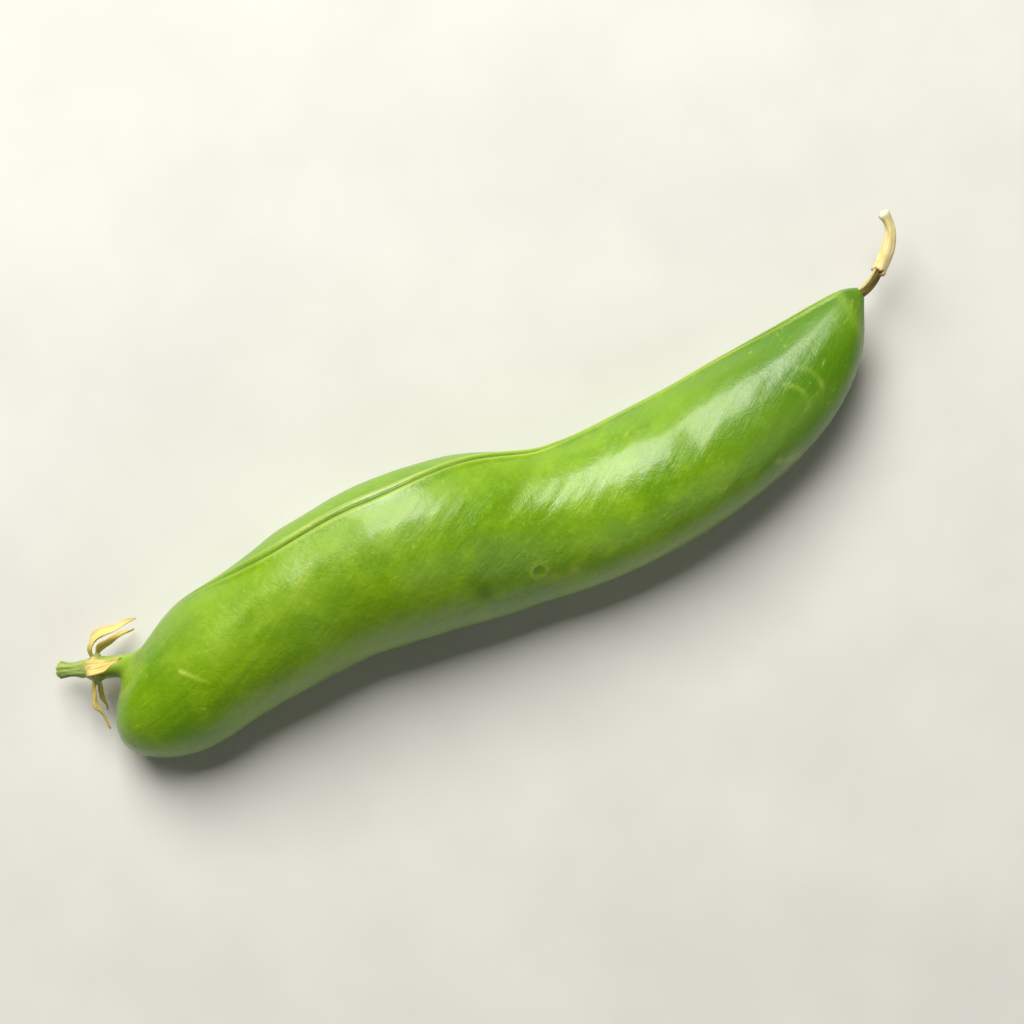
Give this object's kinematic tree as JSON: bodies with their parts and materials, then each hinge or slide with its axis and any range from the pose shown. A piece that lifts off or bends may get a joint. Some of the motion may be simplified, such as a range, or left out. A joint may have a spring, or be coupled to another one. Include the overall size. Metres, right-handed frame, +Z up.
{
  "type": "sugar snap pea pod",
  "caption": "Plump, gently S-curved green sugar snap pea pod lying on its side, with a calyx of dry sepals and a cut stalk stub at one end and a dry style at the other.",
  "frame": {"origin": "under the middle of the whole pod's bounding box, on the surface that it lies on", "axes": "+X along the pod from the stem end to the tip, +Y towards the seam that the peas hang from, +Z up from the surface"},
  "size_m": [0.0936, 0.0232, 0.0151],
  "materials": {
    "pod_skin": "smooth waxy green skin",
    "dry_sheath": "dry cream-coloured tissue",
    "calyx": "pale green, matt",
    "sepal": "withered, straw-coloured",
    "stalk": "pale green, matt"
  },
  "bodies": {
    "root": {"pod": "pod_skin", "dried_style": "dry_sheath", "calyx_cup": "calyx", "sepal_1": "sepal", "sepal_2": "sepal", "sepal_3": "sepal", "sepal_4": "sepal", "sepal_5": "sepal", "stalk_stub": "stalk"}
  },
  "joints": []
}
